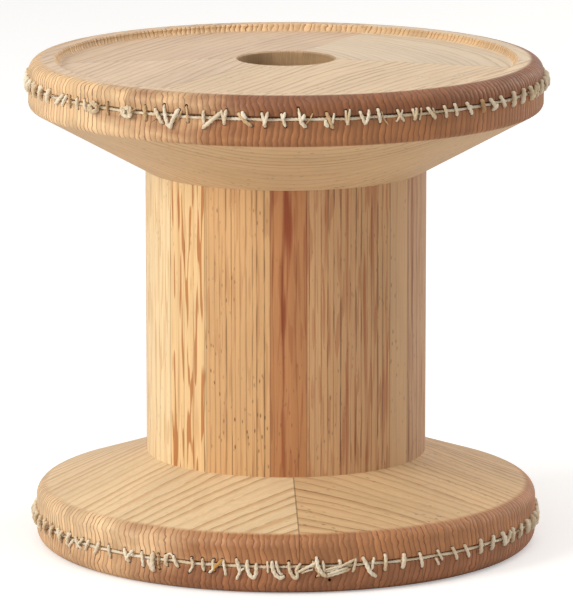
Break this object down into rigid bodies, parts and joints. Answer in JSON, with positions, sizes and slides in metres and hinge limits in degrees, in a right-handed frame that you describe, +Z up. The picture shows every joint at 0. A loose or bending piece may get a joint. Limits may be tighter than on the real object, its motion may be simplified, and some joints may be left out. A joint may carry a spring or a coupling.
{
  "type": "wooden spool",
  "caption": "Round wooden spool with a coopered barrel, two sloping flanges laced round their seams, recessed faces and a through hole for a spindle.",
  "frame": {"origin": "middle of the foot, on the plane that the spool stands on", "axes": "+Z up along the spindle hole, +X to the right and -Y towards the viewer of the picture"},
  "size_m": [0.1139, 0.1139, 0.1067],
  "materials": {
    "pale_wood": "satin, bare sanded pale softwood",
    "honey_wood": "satin, bare sanded honey-coloured wood",
    "tan_wood": "satin, bare sanded tan wood with open pores",
    "red_wood": "satin, bare sanded reddish wood",
    "grey_wood": "satin, bare sanded wood, slightly greyed",
    "core_wood": "matte, sawn and bored wood",
    "twine": "matte, undyed natural-fibre twine"
  },
  "bodies": {
    "root": {"core_tube": "core_wood", "barrel_stave_01": "pale_wood", "barrel_stave_02": "tan_wood", "barrel_stave_03": "red_wood", "barrel_stave_04": "honey_wood", "barrel_stave_05": "pale_wood", "barrel_stave_06": "tan_wood", "barrel_stave_07": "honey_wood", "barrel_stave_08": "pale_wood", "barrel_stave_09": "tan_wood", "barrel_stave_10": "honey_wood", "barrel_stave_11": "pale_wood", "barrel_stave_12": "red_wood", "barrel_stave_13": "honey_wood", "face_board_front_right": "tan_wood", "face_board_back_right": "pale_wood", "face_board_back_left": "grey_wood", "face_board_front_left": "grey_wood", "foot_board_back_right": "honey_wood", "foot_board_back_left": "tan_wood", "foot_board_front_left": "honey_wood", "foot_board_front_right": "tan_wood", "upper_cone_board_front": "honey_wood", "upper_cone_board_back": "pale_wood", "lower_cone_board_right": "honey_wood", "lower_cone_board_left": "pale_wood", "upper_seam_cord": "twine", "upper_stitches": "twine", "upper_knots": "twine", "lower_seam_cord": "twine", "lower_stitches": "twine", "lower_fan_strands": "twine"}
  },
  "joints": []
}
